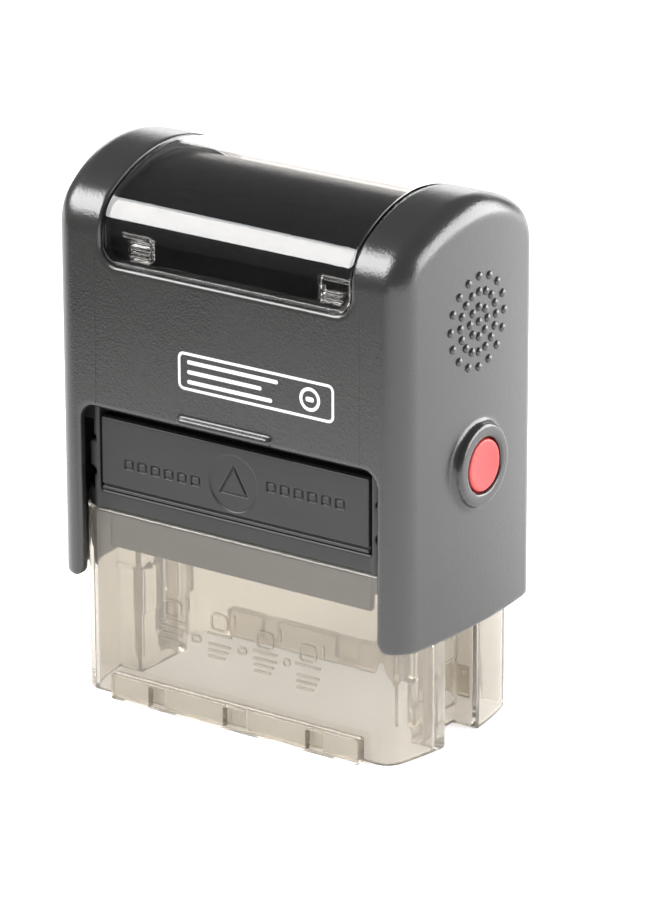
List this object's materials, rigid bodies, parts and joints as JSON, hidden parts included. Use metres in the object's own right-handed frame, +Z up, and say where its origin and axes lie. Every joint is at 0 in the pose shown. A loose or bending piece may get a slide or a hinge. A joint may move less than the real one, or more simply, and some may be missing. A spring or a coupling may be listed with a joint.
{
  "type": "self-inking stamp",
  "caption": "Self-inking stamp with a spring-loaded cap, flipping stamping plate, slide-out ink cassette, clear foot, clip-off window and side push buttons.",
  "frame": {"origin": "on the table, under the middle of the stamp", "axes": "+X along the long side, +Y towards the back, +Z up"},
  "size_m": [0.065, 0.0348, 0.08],
  "materials": {
    "black_textured_plastic": "fine spark texture, satin",
    "black_smooth_plastic": "smooth moulded",
    "dark_inner_plastic": "smooth moulded",
    "clear_window": "polished, clear",
    "clear_smoke_plastic": "polished, faintly smoky, clear",
    "red_plastic": "satin",
    "spring_steel": "drawn wire",
    "axle_steel": "ground",
    "inked_felt": "wet felt",
    "grey_foam": "closed-cell foam",
    "white_print": "pad-printed ink",
    "stamp_rubber": "laser-cut rubber"
  },
  "bodies": {
    "base": {"clear_foot": "clear_smoke_plastic", "pad_housing": "black_smooth_plastic", "main_spring": "spring_steel", "left_flip_stud": "clear_smoke_plastic", "right_flip_stud": "clear_smoke_plastic"},
    "cap": {"cap_shell": "black_textured_plastic", "axle_bridge": "dark_inner_plastic", "left_button_spring": "spring_steel", "right_button_spring": "spring_steel"},
    "window": {"window_cover": "clear_window"},
    "left_button": {"left_button": "red_plastic"},
    "right_button": {"right_button": "red_plastic"},
    "pad_cassette": {"cassette_tray": "black_smooth_plastic", "lower_ink_pad": "inked_felt", "upper_ink_pad": "inked_felt"},
    "platen": {"platen_block": "dark_inner_plastic", "left_cam_disc": "dark_inner_plastic", "right_cam_disc": "dark_inner_plastic", "platen_axle": "axle_steel", "die_cushion": "grey_foam", "rubber_die": "stamp_rubber"}
  },
  "joints": [
    {"name": "cap_press", "type": "slide", "parent": "base", "child": "cap", "axis": [0, 0, -1], "range_m": [0, 0.0165], "stiffness_N_per_m": 500, "springref_m": -0.01, "deforming": ["main_spring"]},
    {"name": "platen_flip", "type": "hinge", "parent": "cap", "child": "platen", "pos_m": [0, 0, 0.02375], "axis": [1, 0, 0], "range_deg": [0, 180.01]},
    {"name": "cassette_slide", "type": "slide", "parent": "base", "child": "pad_cassette", "axis": [0, 1, 0], "range_m": [-0.036, 0]},
    {"name": "left_button_press", "type": "slide", "parent": "cap", "child": "left_button", "axis": [1, 0, 0], "range_m": [0, 0.0012], "stiffness_N_per_m": 150, "springref_m": -0.002, "deforming": ["left_button_spring"]},
    {"name": "right_button_press", "type": "slide", "parent": "cap", "child": "right_button", "axis": [-1, 0, 0], "range_m": [0, 0.0012], "stiffness_N_per_m": 150, "springref_m": -0.002, "deforming": ["right_button_spring"]},
    {"name": "window_lift", "type": "slide", "parent": "cap", "child": "window", "axis": [0, 0, 1], "range_m": [0, 0.02]}
  ],
  "couplings": [
    {"joint": "platen_flip", "follows": "cap_press", "rad_per_m": 190.4}
  ]
}
